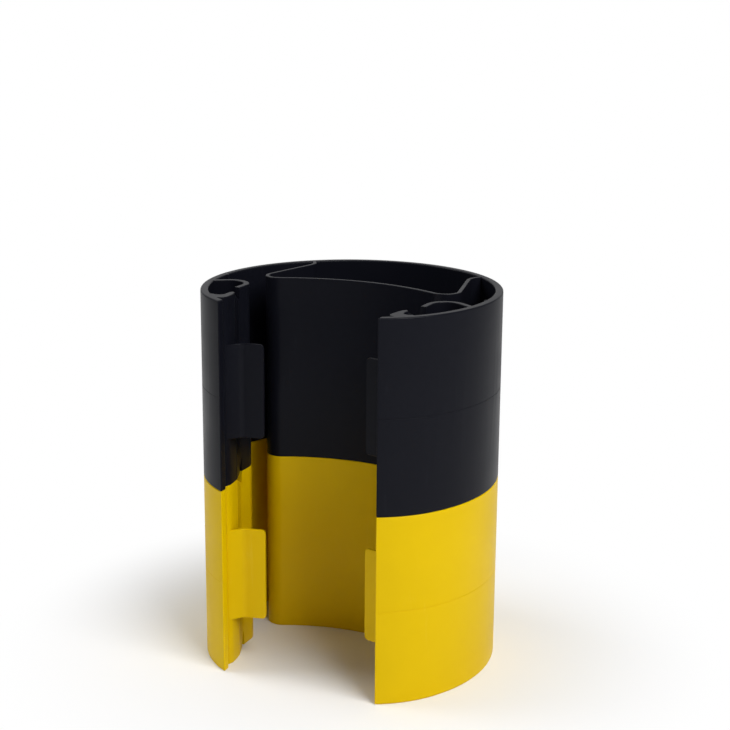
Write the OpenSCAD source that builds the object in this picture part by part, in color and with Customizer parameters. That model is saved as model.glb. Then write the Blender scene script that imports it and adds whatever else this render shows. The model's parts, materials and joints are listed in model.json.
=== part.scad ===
// Clip-on rack column guard, pushed on sideways at the foot of a storage rack.
// Two equal mouldings stand on each other, black above yellow. Each is a nearly closed tube of
// one even wall, open to the front, where two barbed lips and their sprung latch leaves snap in
// to hold it. Thin ribs inside, each looped or bowed, keep a pocket free in the middle and take
// up a knock on the wall by bending.
// Millimetres. +Z is up, the mouth faces -Y, and the origin is the middle of the foot.

/* [Moulding] */
// Height of one moulding
module_h = 147; // [110:1:200]
// Thickness of the outer wall
wall_t = 6; // [4.5:0.5:8]
// Chamfer on the rims of the outer wall
rim_c = 1; // [0.5:0.1:1.6]
// Width of the fine parting groove round the outside at mid height
seam_w = 0.8; // [0.6:0.1:1.2]
// Depth of the parting groove
seam_deep = 0.35; // [0.2:0.05:0.5]

/* [Outline] */
// Outer radius round the back and the flanks
tube_r = 115.5; // [108:0.5:123]
// Turn of that arc on each side of the middle of the back, degrees
tube_turn = 122; // [120:0.5:124]
// Outer radius where a limb closes in to the mouth
mouth_r = 87; // [82:1:92]
// Width of the mouth, between the square-cut ends of the wall
mouth_w = 128; // [122:1:134]

/* [Lips] */
// Reach of the barb behind each end of the wall
barb_reach = 34.5; // [31:0.5:37]
// Thickness of the latch leaf
leaf_t = 2.6; // [2:0.1:3.2]
// Share of the moulding's height that the latch leaf takes
leaf_share = 0.5; // [0.4:0.05:0.6]
// Straight run of the leaf, from the barb's foot to its bend
leaf_run = 11.5; // [10:0.5:14]
// Direction of that run, degrees from the line across the mouth
leaf_rise = 54; // [50:1:58]
// Radius of the leaf's bend, at the middle of its thickness
leaf_bend_r = 8; // [6:0.5:11]
// Turn of the bend, degrees
leaf_turn = 42; // [36:1:48]
// Straight pressing end of the leaf
leaf_end = 14.5; // [11:0.5:17]
// Radius of the corners at the leaf's free end
leaf_corner_r = 3; // [2:0.5:5]

/* [Side springs] */
// Thickness of the side rib
side_t = 4.4; // [3.6:0.2:5]
// Sloping run of the side rib, from the barb outwards
side_run = 17; // [15:0.5:19]
// Lean of that run away from straight back, degrees
side_lean = 22; // [19:0.5:25]
// Radius of the bend that turns the rib straight back
side_bend_r = 12; // [9:0.5:15]
// Straight run from that bend to the loop
side_leg = 11.5; // [9:0.5:14]
// Radius of the loop that brings the rib round to the wall
loop_r = 13.5; // [12:0.5:15]
// Turn of the loop, degrees
loop_turn = 124; // [118:1:128]
// Length of the sloping relief in the rib's upper edge
relief_run = 22; // [18:1:24]
// Depth of the upper relief at its deep end
relief_deep = 9.5; // [6:0.5:13]
// Length of the steeper relief in the rib's lower edge, which ends at the same place
heel_run = 7; // [5:0.5:9]
// Depth of the lower relief at its deep end
heel_deep = 12; // [8:1:16]

/* [Back spring] */
// Thickness of the back spring
rib_t = 3; // [2.4:0.1:3.6]
// Distance from the back of the guard to the middle of the bow
bow_set = 93.5; // [90:0.5:97]
// Radius of the bow across the back
bow_r = 146; // [140:2:152]
// Turn of the bow on each side of the middle, degrees
bow_turn = 26.5; // [25.5:0.5:27.5]
// Radius of the two corners of the bow
bow_corner_r = 11; // [9:0.5:13]
// Turn of a corner, degrees
bow_corner_turn = 130; // [128:1:132]
// Straight leg from a corner to the foot of the spring
leg_run = 48; // [45:1:50]
// Radius of the foot that turns the leg into the wall
foot_r = 16; // [13:1:19]
// Turn of the foot, degrees
foot_turn = 50; // [44:1:56]
// Radius of the small bead inside each flank
bead_r = 1.4; // [1:0.1:2]
// Place of the bead along the tube's arc, from the middle of the back, as a share of the arc
bead_share = 0.74; // [0.7:0.01:0.8]

/* [Colours] */
// Colour of the upper moulding
upper_colour = "#26262B"; // ["#26262B", "#303036"]
// Colour of the lower moulding
lower_colour = "#E6C200"; // ["#E6C200", "#F0CC10"]

/* [Hidden] */
$fn = 96;
// How far a cut runs past the face that it opens
overrun = wall_t / 3;
// Step that parts two faces which would otherwise only just touch
blend_step = wall_t / 120;
// Gap on each side of a knuckle's middle that the knuckle itself bridges
knuckle_gap = 2 * blend_step;
// Long enough to reach across the guard
across = 3 * tube_r;

// Unit vector at an angle from straight back, and at the same angle from straight forward
function toward(a) = [sin(a), cos(a)];
function below(a) = [sin(a), -cos(a)];

mouth_shift = (tube_r - mouth_r) * toward(tube_turn);
limb_turn = 180 - asin((mouth_w / 2 - mouth_shift[0]) / mouth_r);
lip_shift = mouth_shift + mouth_r * toward(limb_turn);
depth = tube_r - lip_shift[1];
tube_centre = [0, depth / 2 - tube_r];
mouth_centre = tube_centre + mouth_shift;
lip = tube_centre + lip_shift;

// The barb's outline and the roots of its leaf and its rib, in shares of the barb's reach from
// the outer corner of the wall's end
barb_shares = [[0.275, 0.283], [0.093, 0.381], [0.058, 0.497], [0.07, 0.63], [0.093, 0.784],
    [0.125, 0.914], [0.174, 0.99], [0.226, 1], [0.267, 0.926], [0.258, 0.796], [0.27, 0.677],
    [0.319, 0.622], [0.417, 0.601], [0.51, 0.633], [0.594, 0.596]];
leaf_root_share = [0.133, 0.41];
side_root_share = [0.169, 0.861];
leaf_h = leaf_share * module_h;

// A path is a list of runs, each [length, 0] when straight or [radius, turn] when bent. A turn
// is in degrees, left is positive, and radii are at the middle of the rib's thickness.
function turned(path, n) = n == 0 ? 0 : turned(path, n - 1) + path[n - 1][1];
function spun(p, a) = [p[0] * cos(a) - p[1] * sin(a), p[0] * sin(a) + p[1] * cos(a)];
function run_end(run) = run[1] == 0
    ? [run[0], 0]
    : run[0] * [sin(abs(run[1])), sign(run[1]) * (1 - cos(run[1]))];
function reached(path, n) = n == 0
    ? [0, 0]
    : reached(path, n - 1) + spun(run_end(path[n - 1]), turned(path, n - 1));
// How far a bend of radius r turns within a knuckle's gap
function gap_turn(r) = atan(knuckle_gap / r);

// Both springs end in a straight run that is long enough to reach the wall, which cuts it off
side_path = [[side_run, 0], [side_bend_r, side_lean], [side_leg, 0], [loop_r, -loop_turn],
    [tube_r, 0]];
leaf_path = [[leaf_run, 0], [leaf_bend_r, leaf_turn]];
foot_path = [[tube_r, 0], [foot_r, -foot_turn], [leg_run, 0], [bow_corner_r, bow_corner_turn]];
spring_path = concat(foot_path, [[bow_r, -2 * bow_turn]], [for (i = [3 : -1 : 0]) foot_path[i]]);
spring_heading = bow_turn - turned(foot_path, 4);
spring_reach = spun(reached(foot_path, 4), spring_heading);
bow_rise = bow_r * (1 - cos(bow_turn));
spring_start = [-bow_r * sin(bow_turn), depth / 2 - bow_set - bow_rise] - spring_reach;

module both_sides() {
    children();
    mirror([1, 0, 0]) children();
}

// A round blank of the tube, with chamfered rims and the parting groove at mid height
module drum(r) {
    rotate_extrude() polygon([
        [0, 0], [r - rim_c, 0], [r, rim_c],
        [r, (module_h - seam_w) / 2], [r - seam_deep, module_h / 2], [r, (module_h + seam_w) / 2],
        [r, module_h - rim_c], [r - rim_c, module_h], [0, module_h]
    ]);
}

// What a drum is hollowed out with, flared at both ends to chamfer the inner rims
module bore(r) {
    rotate_extrude() polygon([
        [0, -overrun], [r + rim_c + overrun, -overrun], [r, rim_c],
        [r, module_h - rim_c], [r + rim_c + overrun, module_h + overrun], [0, module_h + overrun]
    ]);
}

// The tube's round shape, closed in along each limb to the smaller radius of the mouth. The
// first child is the tube's, and the second is the mouth's.
module closed_in() {
    difference() {
        translate(tube_centre) children(0);
        both_sides() difference() {
            translate([0, 0, -across]) linear_extrude(2 * across)
                polygon([tube_centre, tube_centre + across * toward(tube_turn),
                    [across, -across], [0, -across]]);
            translate(mouth_centre) children(1);
        }
    }
}

module outer_wall() {
    difference() {
        closed_in() {
            drum(tube_r);
            drum(mouth_r - blend_step);
        }
        closed_in() {
            bore(tube_r - wall_t);
            bore(mouth_r - wall_t - blend_step);
        }
        translate([-mouth_w / 2, mouth_centre[1] - across, -overrun])
            cube([mouth_w, across, module_h + 2 * overrun]);
    }
    both_sides() translate(tube_centre + (tube_r - wall_t) * toward(bead_share * tube_turn))
        cylinder(r = bead_r, h = module_h);
}

// A bend of a rib: leaves the origin along +X and turns left round a centre at distance r
module bend(r, turn, t) {
    translate([0, r]) intersection() {
        difference() {
            circle(r + t / 2);
            circle(r - t / 2);
        }
        polygon([[0, 0], across * below(gap_turn(r)), across * below(turn / 2),
            across * below(turn - gap_turn(r))]);
    }
}

// The section of a rib of one thickness along a path, with a knuckle at each change of bend
module rib(path, start, heading, t) {
    for (i = [0 : len(path) - 1])
        translate(start + spun(reached(path, i), heading)) rotate(heading + turned(path, i)) {
            if (path[i][1] == 0)
                translate([knuckle_gap, -t / 2]) square([path[i][0] - 2 * knuckle_gap, t]);
            else mirror([0, path[i][1] < 0 ? 1 : 0]) bend(path[i][0], abs(path[i][1]), t);
            if (i > 0) circle(t / 2 + blend_step);
        }
}

module barb() {
    translate(lip) linear_extrude(module_h) polygon(barb_reach * barb_shares);
}

// Latch leaf: at mid height, runs inwards from the foot of the barb and bends to a pressing end
module latch_leaf() {
    start = lip + barb_reach * leaf_root_share;
    heading = 180 - leaf_rise;
    translate([0, 0, (module_h - leaf_h) / 2]) {
        linear_extrude(leaf_h) rib(leaf_path, start, heading, leaf_t);
        translate(start + spun(reached(leaf_path, 2), heading)) rotate(heading + leaf_turn) {
            cylinder(r = leaf_t / 2 + blend_step, h = leaf_h);
            translate([0, leaf_t / 2, 0]) rotate([90, 0, 0]) linear_extrude(leaf_t)
                difference() {
                    square([leaf_end, leaf_h]);
                    for (flip = [0, 1]) translate([leaf_end, flip * leaf_h])
                        mirror([0, flip]) difference() {
                            translate([-leaf_corner_r, -overrun])
                                square([leaf_corner_r + overrun, leaf_corner_r + overrun]);
                            translate([-leaf_corner_r, leaf_corner_r])
                                circle(leaf_corner_r - blend_step);
                        }
                }
        }
    }
}

// Side rib: runs out and back from the barb, relieved at its edges, and loops into the flank
module side_rib() {
    start = lip + barb_reach * side_root_share;
    heading = 90 - side_lean;
    difference() {
        linear_extrude(module_h) intersection() {
            rib(side_path, start, heading, side_t);
            translate(tube_centre) circle(tube_r - wall_t / 2);
        }
        translate(start) rotate(heading) translate([0, side_t, 0]) rotate([90, 0, 0])
            linear_extrude(2 * side_t) {
                polygon([[0, module_h], [relief_run, module_h - relief_deep],
                    [relief_run, module_h + overrun], [0, module_h + overrun]]);
                polygon([[relief_run - heel_run, 0], [relief_run, heel_deep],
                    [relief_run, -overrun], [relief_run - heel_run, -overrun]]);
            }
    }
}

// Back spring: a bow across the pocket, with a sprung leg and foot on each side
module back_spring() {
    linear_extrude(module_h) intersection() {
        rib(spring_path, spring_start, spring_heading, rib_t);
        translate(tube_centre) circle(tube_r - wall_t / 2);
    }
}

module moulding() {
    outer_wall();
    back_spring();
    both_sides() {
        barb();
        latch_leaf();
        side_rib();
    }
}

module lower_guard() {
    color(lower_colour) moulding();
}

module upper_guard() {
    color(upper_colour) translate([0, 0, module_h]) moulding();
}

lower_guard();
upper_guard();
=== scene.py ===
# %% [markdown]
# # Rack column guard
#
# The object is a clip-on guard for the foot of a storage rack: two equal plastic mouldings, black
# above yellow, each a nearly closed tube with sprung ribs inside. This script dresses the packed
# CAD model for a picture. It is written in cells, so that each step can be read and run by itself.

# %% Load the frame
import cmath
import json
import math

import bmesh
import bpy
from mathutils import Matrix, Vector

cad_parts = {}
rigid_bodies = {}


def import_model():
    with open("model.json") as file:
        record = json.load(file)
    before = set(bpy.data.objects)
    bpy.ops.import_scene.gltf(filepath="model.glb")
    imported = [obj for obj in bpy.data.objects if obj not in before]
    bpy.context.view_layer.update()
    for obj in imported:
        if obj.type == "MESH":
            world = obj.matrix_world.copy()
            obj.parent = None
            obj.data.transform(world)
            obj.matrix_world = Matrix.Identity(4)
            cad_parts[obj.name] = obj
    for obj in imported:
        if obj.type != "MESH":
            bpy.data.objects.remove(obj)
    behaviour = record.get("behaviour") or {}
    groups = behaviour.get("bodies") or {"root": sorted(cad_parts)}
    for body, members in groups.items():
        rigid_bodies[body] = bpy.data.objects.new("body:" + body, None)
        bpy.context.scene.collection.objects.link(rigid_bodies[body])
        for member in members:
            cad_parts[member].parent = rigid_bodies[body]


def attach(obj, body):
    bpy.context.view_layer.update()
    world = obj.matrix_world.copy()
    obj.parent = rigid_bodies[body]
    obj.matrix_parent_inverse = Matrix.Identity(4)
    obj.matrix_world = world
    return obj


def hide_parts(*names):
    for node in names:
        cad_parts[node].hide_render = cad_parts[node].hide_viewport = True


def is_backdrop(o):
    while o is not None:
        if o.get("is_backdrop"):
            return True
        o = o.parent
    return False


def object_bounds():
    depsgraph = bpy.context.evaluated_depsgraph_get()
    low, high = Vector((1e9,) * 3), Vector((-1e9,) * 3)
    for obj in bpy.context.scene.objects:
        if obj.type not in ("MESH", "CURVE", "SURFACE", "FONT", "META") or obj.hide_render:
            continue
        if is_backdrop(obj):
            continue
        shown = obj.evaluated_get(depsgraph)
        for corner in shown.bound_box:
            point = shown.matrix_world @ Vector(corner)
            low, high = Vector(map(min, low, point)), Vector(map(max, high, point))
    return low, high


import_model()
cad_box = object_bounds()
MM = 0.001
print("CAD box, mm:", [[round(c / MM, 1) for c in corner] for corner in cad_box])

# %% [markdown]
# ## Small helpers
#
# Blender works with linear colour values, while colours are usually picked as sRGB hex values.
# One function turns one into the other, and one more adds a node with its settings and links, so
# that each material and each Geometry Nodes tree reads as a short recipe.


# %% Helpers for colours and nodes
def linear(hex_value):
    """An sRGB colour such as "#E6C200" as the linear values that shaders work with."""
    parts = [int(hex_value[i:i + 2], 16) / 255 for i in (1, 3, 5)]
    return (*[p / 12.92 if p <= 0.04045 else ((p + 0.055) / 1.055) ** 2.4 for p in parts], 1.0)


def add_node(tree, kind, settings=None, **inputs):
    """Adds a node. An input is named, with _ for a space, or numbered, as in _0."""
    node = tree.nodes.new(kind)
    for name, value in (settings or {}).items():
        setattr(node, name, value)
    for name, value in inputs.items():
        socket = node.inputs[int(name[1:]) if name[1:].isdigit() else name.replace("_", " ")]
        if isinstance(value, bpy.types.NodeSocket):
            tree.links.new(value, socket)
        else:
            socket.default_value = value
    return node


def new_material(name):
    """An empty node material, and the tree to build it in."""
    material = bpy.data.materials.new(name)
    material.use_nodes = True
    material.node_tree.nodes.clear()
    return material, material.node_tree


print("helpers ready")

# %% [markdown]
# ## Moulded polypropylene
#
# Both mouldings are injection-moulded polypropylene, a waxy, slightly soft plastic. The steel of
# the mould is spark-eroded, which leaves a very fine grain on the part, so highlights are broad
# and soft instead of mirror-like. The two colours differ in their pigment and a little in gloss.
#
# A real moulding is never perfectly even. The pigment flows in faint clouds a few centimetres
# across, the gloss changes a little with them, and handling leaves fine scuffs. All of this is
# procedural noise on Object coordinates. The grain of the real part is about 0.1 mm, too fine
# for this picture, so it is drawn at 0.9 mm and kept shallow.


# %% Materials
GRAIN = 0.9 * MM
CLOUD = 45 * MM
SCUFF = 7 * MM
SCUFF_STRETCH = (1.0, 1.0, 0.12)
GLOSS_SPREAD = 0.03
POLYPROPYLENE_IOR = 1.49


def moulded_polypropylene(name, pigment, shade, scuffed, roughness, specular):
    """Spark-eroded polypropylene with faint clouds in its pigment and its gloss."""
    material, tree = new_material(name)
    place = add_node(tree, "ShaderNodeTexCoord").outputs["Object"]
    clouds = add_node(tree, "ShaderNodeTexNoise", Vector=place, Scale=1 / CLOUD, Detail=3.0)
    tint = add_node(tree, "ShaderNodeMix", {"data_type": "RGBA"}, Factor=clouds.outputs["Fac"],
                    _6=linear(pigment), _7=linear(shade))
    stretch = add_node(tree, "ShaderNodeMapping", Vector=place, Scale=SCUFF_STRETCH)
    streaks = add_node(tree, "ShaderNodeTexNoise", Vector=stretch.outputs["Vector"],
                       Scale=1 / SCUFF, Detail=6.0, Roughness=0.7)
    scuffs = add_node(tree, "ShaderNodeMapRange", {"interpolation_type": "SMOOTHSTEP"},
                      Value=streaks.outputs["Fac"], From_Min=0.6, From_Max=0.82, To_Max=0.35)
    worn = add_node(tree, "ShaderNodeMix", {"data_type": "RGBA"}, Factor=scuffs.outputs["Result"],
                    _6=tint.outputs[2], _7=linear(scuffed))
    gloss = add_node(tree, "ShaderNodeMapRange", Value=clouds.outputs["Fac"], From_Min=0.3,
                     From_Max=0.7, To_Min=roughness - GLOSS_SPREAD,
                     To_Max=roughness + GLOSS_SPREAD)
    grain = add_node(tree, "ShaderNodeTexNoise", Vector=place, Scale=1 / GRAIN, Detail=2.0)
    bump = add_node(tree, "ShaderNodeBump", Strength=0.1, Distance=GRAIN / 8,
                    Height=grain.outputs["Fac"])
    shader = add_node(tree, "ShaderNodeBsdfPrincipled", Base_Color=worn.outputs[2],
                      Roughness=gloss.outputs["Result"], IOR=POLYPROPYLENE_IOR,
                      Specular_IOR_Level=specular, Normal=bump.outputs["Normal"])
    add_node(tree, "ShaderNodeOutputMaterial", Surface=shader.outputs["BSDF"])
    return material


black_plastic = moulded_polypropylene(
    "black_polypropylene", pigment="#0F1017", shade="#13141B", scuffed="#25262D",
    roughness=0.34, specular=0.09)
yellow_plastic = moulded_polypropylene(
    "yellow_polypropylene", pigment="#E4BF00", shade="#DBB600", scuffed="#E8CB4A",
    roughness=0.4, specular=0.09)
print("materials:", black_plastic.name, yellow_plastic.name)

# %% [markdown]
# ## The plan of a moulding
#
# The whole moulding is a plan drawn with walls of even thickness and pulled straight up out of
# the mould. So it is described as a plan too: each wall or rib is a walk, made of straight runs
# and bends, at the middle of its thickness. These are the sizes of the real part.

# %% Sizes of one moulding
MOULDING_H = 147 * MM
WALL_T, SIDE_T, BACK_T, LEAF_T = 6 * MM, 4.4 * MM, 3 * MM, 2.6 * MM
RIM_ROUND, RIB_ROUND = 1.1 * MM, 0.6 * MM

TUBE_R, TUBE_TURN = 115.5 * MM, 122
MOUTH_R, MOUTH_W = 87 * MM, 128 * MM
BARB_REACH = 34.5 * MM
LEAF_H, LEAF_CORNER = MOULDING_H / 2, 3 * MM
LEAF_RISE, LEAF_WALK = 54, [(11.5 * MM, 0), (8 * MM, 42), (14.5 * MM, 0)]
SIDE_LEAN = 22
SIDE_WALK = [(17 * MM, 0), (12 * MM, 22), (11.5 * MM, 0), (13.5 * MM, -124), (13.5 * MM, 0)]
RELIEF_RUN, RELIEF_DEEP, HEEL_RUN, HEEL_DEEP = 22 * MM, 9.5 * MM, 7 * MM, 12 * MM
BOW_SET = 93.5 * MM
BOW_WALK = [(146 * MM, -26.5), (11 * MM, 130), (48 * MM, 0), (16 * MM, -50), (16 * MM, 0)]


def toward(angle, length=1.0):
    """A step in the plan, at an angle in degrees from straight back towards +X."""
    return length * complex(math.sin(math.radians(angle)), math.cos(math.radians(angle)))


def outline_walk(inset):
    """Half of the tube's outline, from the back round one limb and on past the mouth."""
    past_mouth = 8
    return [(TUBE_R - inset, -TUBE_TURN), (MOUTH_R - inset, TUBE_TURN - limb_turn - past_mouth)]


mouth_shift = toward(TUBE_TURN, TUBE_R - MOUTH_R)
limb_turn = 180 - math.degrees(math.asin((MOUTH_W / 2 - mouth_shift.real) / MOUTH_R))
lip_shift = mouth_shift + toward(limb_turn, MOUTH_R)
tube_centre = complex(0, (TUBE_R - lip_shift.imag) / 2 - TUBE_R)
mouth_centre = tube_centre + mouth_shift
lip = tube_centre + lip_shift
print("depth, mm:", round((TUBE_R - lip_shift.imag) / MM, 2), "lip:", lip)

# %% [markdown]
# A walk becomes a chain of vertices. Complex numbers suit this well: the place is one number, a
# heading is a number of length 1, and multiplying by it turns a step. Each vertex also keeps how
# far the upper and the lower edge are cut back there, in two attributes that travel through the
# Geometry Nodes tree: that is how the leaf gets its round corners and the side rib its relief.


# %% Walks
BEND_STEP = 4


def walk(start, heading, runs, stops=()):
    """Points along a rib, as (place, distance). A run is (length, 0) or (radius, turn to the left)."""
    place, ahead, gone = start, cmath.rect(1, math.radians(heading)), 0.0
    points = [(place, gone)]
    for size, turn in runs:
        length = size * math.radians(abs(turn)) if turn else size
        count = max(1, math.ceil(abs(turn) / BEND_STEP))
        marks = [length * i / count for i in range(1, count + 1)]
        marks += [stop - gone for stop in stops if 0 < stop - gone < length]
        centre = place + ahead * complex(0, math.copysign(size, turn))
        for mark in sorted(marks):
            spin = cmath.rect(1, math.copysign(mark / size, turn))
            here = centre + (place - centre) * spin if turn else place + ahead * mark
            points.append((here, gone + mark))
        place, gone = points[-1][0], gone + length
        ahead *= cmath.rect(1, math.radians(turn))
    return points


def up_to_wall(points):
    """Ends a walk in the middle of the outer wall's thickness."""
    reach = TUBE_R - WALL_T / 2
    for i, (place, gone) in enumerate(points):
        if abs(place - tube_centre) > reach:
            before, start = points[i - 1]
            inner = abs(before - tube_centre)
            share = (reach - inner) / (abs(place - tube_centre) - inner)
            return points[:i] + [(before + (place - before) * share, start + (gone - start) * share)]
    return points


def mirrored(points):
    """The whole width of a walk that starts on the middle line."""
    right = [place for place, _ in points]
    return [(place, 0.0) for place in [-p.conjugate() for p in reversed(right[1:])] + right]


def plan_object(name, points, side=1, top_cut=None, foot_cut=None):
    """A chain of edges in the plan, with the two cuts of its edges as attributes."""
    mesh = bpy.data.meshes.new(name)
    mesh.from_pydata([(side * p.real, p.imag, 0) for p, _ in points],
                     [(i, i + 1) for i in range(len(points) - 1)], [])
    for label, cut in (("top_cut", top_cut), ("foot_cut", foot_cut)):
        layer = mesh.attributes.new(label, "FLOAT", "POINT")
        layer.data.foreach_set("value", [cut(s) if cut else 0.0 for _, s in points])
    return bpy.data.objects.new(name, mesh)


print("walks ready")

# %% [markdown]
# ## Ribs with Geometry Nodes
#
# Every wall, rib and leaf follows a path, so one tree makes them all: the chain becomes a curve,
# a rectangle with rounded corners is swept along it, and the edges are moved by the two cuts. The
# rounded rims catch a thin line of light, as a real moulding's do. A perfectly sharp edge would
# catch none, which is what makes plain CAD models look lifeless.


# %% The rib tree
def rib_tree():
    """Sweeps a rounded rectangle along a plan and cuts its edges back where the plan says so."""
    tree = bpy.data.node_groups.new("rib_from_plan", "GeometryNodeTree")
    tree.is_modifier = True
    tree.interface.new_socket("Plan", in_out="INPUT", socket_type="NodeSocketGeometry")
    for name in ("Thickness", "Height", "Rounding"):
        tree.interface.new_socket(name, in_out="INPUT", socket_type="NodeSocketFloat")
    tree.interface.new_socket("Plastic", in_out="INPUT", socket_type="NodeSocketMaterial")
    tree.interface.new_socket("Rib", in_out="OUTPUT", socket_type="NodeSocketGeometry")
    given = add_node(tree, "NodeGroupInput").outputs

    path = add_node(tree, "GeometryNodeMeshToCurve", Mesh=given["Plan"])
    upright = add_node(tree, "GeometryNodeSetCurveNormal", {"mode": "Z_UP"}, Curve=path.outputs[0])
    block = add_node(tree, "GeometryNodeCurvePrimitiveQuadrilateral", Width=given["Thickness"],
                     Height=given["Height"])
    section = add_node(tree, "GeometryNodeFilletCurve", {"mode": "POLY"}, Curve=block.outputs[0],
                       Count=3, Radius=given["Rounding"])
    swept = add_node(tree, "GeometryNodeCurveToMesh", Curve=upright.outputs[0],
                     Profile_Curve=section.outputs[0], Fill_Caps=True)

    place = add_node(tree, "GeometryNodeInputPosition").outputs[0]
    z = add_node(tree, "ShaderNodeSeparateXYZ", Vector=place).outputs["Z"]
    upper = add_node(tree, "ShaderNodeMath", {"operation": "GREATER_THAN"}, _0=z, _1=0.0)
    top_cut = add_node(tree, "GeometryNodeInputNamedAttribute", Name="top_cut").outputs[0]
    foot_cut = add_node(tree, "GeometryNodeInputNamedAttribute", Name="foot_cut").outputs[0]
    down = add_node(tree, "ShaderNodeMath", {"operation": "MULTIPLY"}, _0=top_cut, _1=-1.0)
    shift = add_node(tree, "ShaderNodeMix", Factor=upper.outputs[0], A=foot_cut, B=down.outputs[0])
    half = add_node(tree, "ShaderNodeMath", {"operation": "MULTIPLY"}, _0=given["Height"], _1=0.5)
    rise = add_node(tree, "ShaderNodeMath", _0=shift.outputs[0], _1=half.outputs[0])
    offset = add_node(tree, "ShaderNodeCombineXYZ", Z=rise.outputs[0])
    shaped = add_node(tree, "GeometryNodeSetPosition", Geometry=swept.outputs[0],
                      Offset=offset.outputs[0])

    real = add_node(tree, "GeometryNodeRealizeInstances", Geometry=shaped.outputs[0])
    dressed = add_node(tree, "GeometryNodeSetMaterial", Geometry=real.outputs[0],
                       Material=given["Plastic"])
    add_node(tree, "NodeGroupOutput", Rib=dressed.outputs[0])
    return tree


RIB_TREE = rib_tree()
print("tree:", RIB_TREE.name, "with", len(RIB_TREE.nodes), "nodes")

# %% [markdown]
# The tree's result is baked into a plain mesh, and the modifier goes with its plan. A plan lies
# at the height of the rib's foot, so a rib that starts higher is lifted after the bake.


# %% From a plan to a rib
workshop = bpy.data.collections.new("workshop")
bpy.context.scene.collection.children.link(workshop)


def bake(obj):
    """The evaluated object as a plain mesh object in the same collection."""
    depsgraph = bpy.context.evaluated_depsgraph_get()
    mesh = bpy.data.meshes.new_from_object(obj.evaluated_get(depsgraph), depsgraph=depsgraph)
    name = obj.name
    bpy.data.objects.remove(obj)
    made = bpy.data.objects.new(name, mesh)
    mesh.name = name
    workshop.objects.link(made)
    return made


def rib(plan, thickness, height=MOULDING_H, rounding=RIB_ROUND, foot=0.0):
    """A rib of one thickness on a plan, baked to a mesh and lifted to its foot."""
    workshop.objects.link(plan)
    modifier = plan.modifiers.new("rib", "NODES")
    modifier.node_group = RIB_TREE
    values = {"Thickness": thickness, "Height": height, "Rounding": rounding,
              "Plastic": yellow_plastic}
    for item in RIB_TREE.interface.items_tree:
        if item.in_out == "INPUT" and item.name in values:
            modifier[item.identifier] = values[item.name]
    made = bake(plan)
    made.data.transform(Matrix.Translation((0, 0, foot)))
    print(f"{made.name}: {len(made.data.polygons)} faces")
    return made


# %% [markdown]
# ## Outer wall
#
# The tube closes in at the front with a smaller radius, and its ends are cut off square to leave
# the mouth. The walk starts in the middle of the back, and is made once for each side.

# %% Outer wall
back_middle = tube_centre + toward(0, TUBE_R - WALL_T / 2)
wall_points = mirrored(walk(back_middle, 0, outline_walk(WALL_T / 2)))
wall = rib(plan_object("outer_wall", wall_points), WALL_T, rounding=RIM_ROUND)

# %% [markdown]
# ## Sprung ribs and latch leaves
#
# The side rib leaves the barb, runs back beside the pocket and loops into the flank. Its edges
# are relieved beside the barb, so that it bends there and doesn't crack. The leaf is a flap at
# mid height with round corners. The back spring is one bowed rib, from wall to wall, that closes
# the pocket at the rear.

# %% Cuts of the edges
leaf_length = sum(size * math.radians(abs(turn)) if turn else size for size, turn in LEAF_WALK)


def leaf_corner(distance):
    """Round corners at the free end of the leaf."""
    past = max(0.0, distance - leaf_length + LEAF_CORNER)
    return LEAF_CORNER - math.sqrt(max(0.0, LEAF_CORNER ** 2 - past ** 2))


def relief(distance):
    """The upper edge slopes down from the barb, then steps up again."""
    return RELIEF_DEEP * distance / RELIEF_RUN if distance <= RELIEF_RUN else 0.0


def heel(distance):
    """The lower edge slopes up over a shorter run and ends at the same place."""
    start = RELIEF_RUN - HEEL_RUN
    return HEEL_DEEP * (distance - start) / HEEL_RUN if start < distance <= RELIEF_RUN else 0.0


CORNER_SHARES = (1, 0.7, 0.45, 0.25, 0.1)
RELIEF_STEP = 0.05 * MM
leaf_stops = [leaf_length - LEAF_CORNER * share for share in CORNER_SHARES]
side_stops = [RELIEF_RUN - HEEL_RUN, RELIEF_RUN, RELIEF_RUN + RELIEF_STEP]
print("leaf length, mm:", round(leaf_length / MM, 1))

# %% Ribs and leaves of both sides
LEAF_ROOT_SHARE, SIDE_ROOT_SHARE = complex(0.133, 0.41), complex(0.169, 0.861)
leaf_root = lip + BARB_REACH * LEAF_ROOT_SHARE
side_root = lip + BARB_REACH * SIDE_ROOT_SHARE
leaf_points = walk(leaf_root, 180 - LEAF_RISE, LEAF_WALK, leaf_stops)
side_points = up_to_wall(walk(side_root, 90 - SIDE_LEAN, SIDE_WALK, side_stops))
for side, word in ((1, "right"), (-1, "left")):
    rib(plan_object(f"latch_leaf_{word}", leaf_points, side, leaf_corner, leaf_corner), LEAF_T,
        LEAF_H, foot=(MOULDING_H - LEAF_H) / 2)
    rib(plan_object(f"side_rib_{word}", side_points, side, relief, heel), SIDE_T)

bow_middle = tube_centre + toward(0, TUBE_R - BOW_SET)
rib(plan_object("back_spring", mirrored(up_to_wall(walk(bow_middle, 0, BOW_WALK)))), BACK_T)

# %% [markdown]
# ## Barbs
#
# Unlike the walls and the ribs, the barb has no even thickness: it is a lobe that curls forward
# behind the wall's end. Its outline is a few points, given as shares of its reach. A prism is
# raised on it, and a bevel rounds both rims.

# %% Barbs
BARB_SHARES = [(0.275, 0.283), (0.093, 0.381), (0.058, 0.497), (0.07, 0.63), (0.093, 0.784),
               (0.125, 0.914), (0.174, 0.99), (0.226, 1), (0.267, 0.926), (0.258, 0.796),
               (0.27, 0.677), (0.319, 0.622), (0.417, 0.601), (0.51, 0.633), (0.594, 0.596)]


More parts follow.
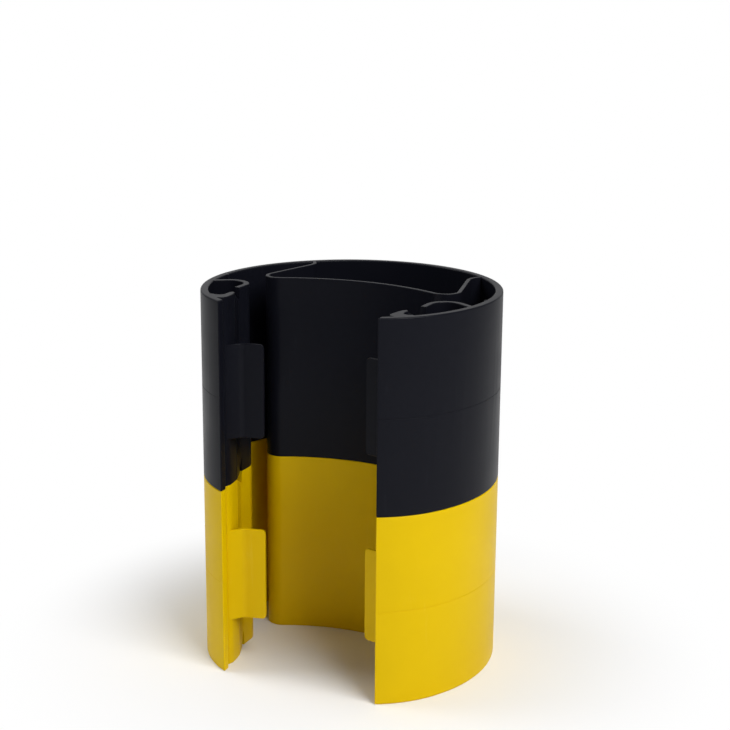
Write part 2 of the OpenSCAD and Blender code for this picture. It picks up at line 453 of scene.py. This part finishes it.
def prism(name, outline, low, high, rounding=0.0):
    """A closed block on an outline in the plan, with both rims rounded."""
    shape = bmesh.new()
    floor_face = shape.faces.new([shape.verts.new((p.real, p.imag, low)) for p in outline])
    raised = bmesh.ops.extrude_face_region(shape, geom=[floor_face])["geom"]
    bmesh.ops.translate(shape, vec=(0, 0, high - low),
                        verts=[v for v in raised if isinstance(v, bmesh.types.BMVert)])
    bmesh.ops.recalc_face_normals(shape, faces=shape.faces)
    if rounding:
        rims = [e for e in shape.edges if abs(e.verts[0].co.z - e.verts[1].co.z) < rounding]
        bmesh.ops.bevel(shape, geom=rims, offset=rounding, segments=3, profile=0.5,
                        affect="EDGES")
    mesh = bpy.data.meshes.new(name)
    shape.to_mesh(mesh)
    shape.free()
    mesh.materials.append(yellow_plastic)
    made = bpy.data.objects.new(name, mesh)
    workshop.objects.link(made)
    return made


for side, word in ((1, "right"), (-1, "left")):
    outline = [lip + BARB_REACH * complex(x, y) for x, y in BARB_SHARES]
    prism(f"barb_{word}", [complex(side * p.real, p.imag) for p in outline], 0, MOULDING_H,
          RIB_ROUND)
print("barbs:", len(BARB_SHARES), "points each")

# %% [markdown]
# A small round bead stands on the inside of each flank and runs from rim to rim.

# %% Beads
BEAD_R, BEAD_SIDES, BEAD_TURN = 1.4 * MM, 24, 0.74 * TUBE_TURN
bead_middle = tube_centre + toward(BEAD_TURN, TUBE_R - WALL_T)
for side, word in ((1, "right"), (-1, "left")):
    outline = [bead_middle + cmath.rect(BEAD_R, math.tau * i / BEAD_SIDES)
               for i in range(BEAD_SIDES)]
    prism(f"bead_{word}", [complex(side * p.real, p.imag) for p in outline], 0, MOULDING_H,
          RIB_ROUND)
print("beads at, mm:", bead_middle / MM)

# %% [markdown]
# ## One solid moulding
#
# The pieces are one piece of plastic, so they are joined with boolean unions. First the wall gets
# its square-cut ends, with a block as wide as the mouth. Once their edges are rounded, a fine rib
# that runs round the outside at mid height cuts the parting line. That is where the two halves of
# the mould met.

# %% Cutters
SEAM_W, SEAM_DEEP = 0.8 * MM, 0.2 * MM
seam_points = mirrored(walk(tube_centre + toward(0, TUBE_R), 0, outline_walk(0)))
seam = rib(plan_object("seam", seam_points), 2 * SEAM_DEEP, SEAM_W, SEAM_DEEP / 2,
           (MOULDING_H - SEAM_W) / 2)
far_front = mouth_centre.imag - 2 * MOUTH_R
mouth = prism("mouth", [complex(-MOUTH_W / 2, far_front), complex(MOUTH_W / 2, far_front),
                        complex(MOUTH_W / 2, mouth_centre.imag),
                        complex(-MOUTH_W / 2, mouth_centre.imag)], -WALL_T, MOULDING_H + WALL_T)
print("cutters ready")

# %% Joining
def combine(obj, operation, tools):
    """One boolean after the other, and then the tools are gone."""
    for tool in tools:
        modifier = obj.modifiers.new(tool.name, "BOOLEAN")
        modifier.operation = operation
        modifier.solver = "EXACT"
        modifier.object = tool
    made = bake(obj)
    for tool in tools:
        bpy.data.objects.remove(tool)
    return made


wall = combine(wall, "DIFFERENCE", [mouth])
print("wall cut:", len(wall.data.polygons), "faces")

# %% Round the cut ends and cut the parting line
END_ROUND, CLOSE = 1.0 * MM, 0.01 * MM
shape = bmesh.new()
shape.from_mesh(wall.data)
ends = [f for f in shape.faces
        if abs(f.normal.x) > 0.99 and abs(abs(f.calc_center_median().x) - MOUTH_W / 2) < CLOSE]
edges = {e for f in ends for e in f.edges if not all(g in ends for g in e.link_faces)}
bmesh.ops.bevel(shape, geom=list(edges), offset=END_ROUND, segments=4, profile=0.5,
                affect="EDGES")
shape.to_mesh(wall.data)
shape.free()
wall = combine(wall, "DIFFERENCE", [seam])
print("rounded ends:", len(ends), "faces,", len(edges), "edges")

# %% Join everything
ribs = [obj for obj in workshop.objects if obj != wall]
moulding = combine(wall, "UNION", ribs)
print("moulding:", len(moulding.data.polygons), "faces,", len(moulding.data.vertices), "vertices")

# %% [markdown]
# Faces that meet at a small angle are shaded as one smooth surface, and real edges stay sharp.
# Weighted normals let the large flat faces keep their own direction, so that only the narrow
# rounded rims bend the light.

# %% Shading
SHARP_ANGLE = math.radians(36)
moulding.data.shade_smooth()
moulding.data.set_sharp_from_angle(angle=SHARP_ANGLE)
weighted = moulding.modifiers.new("weighted", "WEIGHTED_NORMAL")
weighted.keep_sharp = True
moulding = bake(moulding)


def cast(name, node, material, foot):
    """One copy of the moulding in its own colour, in the place of its CAD node."""
    mesh = moulding.data.copy()
    mesh.transform(Matrix.Translation((0, 0, foot)))
    mesh.materials.clear()
    mesh.materials.append(material)
    piece = bpy.data.objects.new(name, mesh)
    bpy.context.scene.collection.objects.link(piece)
    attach(piece, "root")
    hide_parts(node)
    return piece


lower = cast("lower_moulding", "lower_guard", yellow_plastic, 0)
upper = cast("upper_moulding", "upper_guard", black_plastic, MOULDING_H)
bpy.data.objects.remove(moulding)
bpy.data.collections.remove(workshop)
print("mouldings:", lower.name, upper.name)

# %% [markdown]
# ## Studio
#
# A product picture on white: a pale floor that keeps the shadow near the object and fades to
# pure white further out, a large soft lamp above on the right, a weaker one on the left, and a
# wide sheet of light behind the object. The sheet helps to draw the grey edge on black plastic:
# seen at a flat angle, even a black surface mirrors what stands behind it.

# %% Floor
scene = bpy.context.scene
scene.view_settings.view_transform = "Standard"
FLOOR_HALF = 6.0
SHADOW_NEAR, SHADOW_FAR = 0.12, 0.3
PAPER = (0.9, 0.9, 0.9, 1)
WHITE = (1, 1, 1, 1)

mesh = bpy.data.meshes.new("floor")
corners = [(x * FLOOR_HALF, y * FLOOR_HALF, 0) for x, y in ((-1, -1), (1, -1), (1, 1), (-1, 1))]
mesh.from_pydata(corners, [], [(0, 1, 2, 3)])
floor = bpy.data.objects.new("floor", mesh)
scene.collection.objects.link(floor)
floor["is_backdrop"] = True

material, tree = new_material("white_paper")
place = add_node(tree, "ShaderNodeTexCoord").outputs["Object"]
reach = add_node(tree, "ShaderNodeVectorMath", {"operation": "LENGTH"}, _0=place).outputs["Value"]
fade = add_node(tree, "ShaderNodeMapRange", {"interpolation_type": "SMOOTHSTEP"}, Value=reach,
                From_Min=SHADOW_NEAR, From_Max=SHADOW_FAR)
rays = add_node(tree, "ShaderNodeLightPath")
far = add_node(tree, "ShaderNodeMath", {"operation": "MULTIPLY"}, _0=fade.outputs["Result"],
               _1=rays.outputs["Is Camera Ray"])
matte = add_node(tree, "ShaderNodeBsdfDiffuse", Color=PAPER)
glow = add_node(tree, "ShaderNodeEmission", Color=WHITE, Strength=1.0)
blend = add_node(tree, "ShaderNodeMixShader", _0=far.outputs[0], _1=matte.outputs[0],
                 _2=glow.outputs[0])
add_node(tree, "ShaderNodeOutputMaterial", Surface=blend.outputs[0])
floor.data.materials.append(material)
print("floor:", floor.name)

# %% World
ROOM_LIGHT = 0.2
world = bpy.data.worlds.new("studio")
scene.world = world
world.use_nodes = True
tree = world.node_tree
tree.nodes.clear()
rays = add_node(tree, "ShaderNodeLightPath")
room = add_node(tree, "ShaderNodeBackground", Color=WHITE, Strength=ROOM_LIGHT)
paper = add_node(tree, "ShaderNodeBackground", Color=WHITE, Strength=1.0)
seen = add_node(tree, "ShaderNodeMixShader", _0=rays.outputs["Is Camera Ray"], _1=room.outputs[0],
                _2=paper.outputs[0])
add_node(tree, "ShaderNodeOutputWorld", Surface=seen.outputs[0])
print("room light:", ROOM_LIGHT)

# %% Lamps
def softbox(name, azimuth, elevation, distance, width, height, brightness):
    """A flat lamp that faces the middle of the guard. Azimuth 0 is in front of the mouth, and
    90 is at its right. Brightness 1 looks white in a mirror."""
    lamp = bpy.data.lights.new(name, "AREA")
    lamp.shape = "RECTANGLE"
    lamp.size, lamp.size_y = width, height
    lamp.energy = brightness * math.pi * width * height
    obj = bpy.data.objects.new(name, lamp)
    scene.collection.objects.link(obj)
    a, e = math.radians(azimuth), math.radians(elevation)
    back = Vector((math.sin(a) * math.cos(e), -math.cos(a) * math.cos(e), math.sin(e)))
    obj.location = (cad_box[0] + cad_box[1]) / 2 + back * distance
    obj.rotation_mode = "QUATERNION"
    obj.rotation_quaternion = back.to_track_quat("Z", "Y")
    obj.visible_camera = False
    return obj


softbox("key", azimuth=65, elevation=48, distance=1.8, width=1.0, height=1.0, brightness=9.2)
softbox("fill", azimuth=-80, elevation=45, distance=1.8, width=1.0, height=1.0, brightness=4.0)
softbox("back_sheet", azimuth=205, elevation=24, distance=2.2, width=3.2, height=1.8,
        brightness=0.45)

# %% [markdown]
# ## Camera
#
# The camera stands to the right of the mouth and a little above the guard. Its place, its tilt
# and its focal length put the rims, the flanks and the parting line of the guard where the
# photograph shows them.

# %% Camera
CAMERA_PLACE = Vector((0.5026, -1.0629, 0.53))
LOOK_AZIMUTH, LOOK_DOWN, ROLL = math.radians(25.04), math.radians(14.34), math.radians(0.407)
SENSOR, FOCAL = 36.0, 76.54

camera = bpy.data.objects.new("camera", bpy.data.cameras.new("camera"))
scene.collection.objects.link(camera)
camera.data.sensor_width = SENSOR
camera.data.lens = FOCAL
camera.location = CAMERA_PLACE
ahead = Vector((-math.sin(LOOK_AZIMUTH) * math.cos(LOOK_DOWN),
                math.cos(LOOK_AZIMUTH) * math.cos(LOOK_DOWN), -math.sin(LOOK_DOWN)))
level = ahead.to_track_quat("-Z", "Y")
camera.rotation_mode = "QUATERNION"
camera.rotation_quaternion = level @ Matrix.Rotation(ROLL, 3, "Z").to_quaternion()
scene.camera = camera
print("camera at", [round(c, 3) for c in camera.location])

# %% Sizes of the CAD model and of the visual model
visual_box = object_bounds()
for name, box in (("CAD", cad_box), ("visual", visual_box)):
    print(name, "box, mm:", [[round(c / MM, 2) for c in corner] for corner in box])
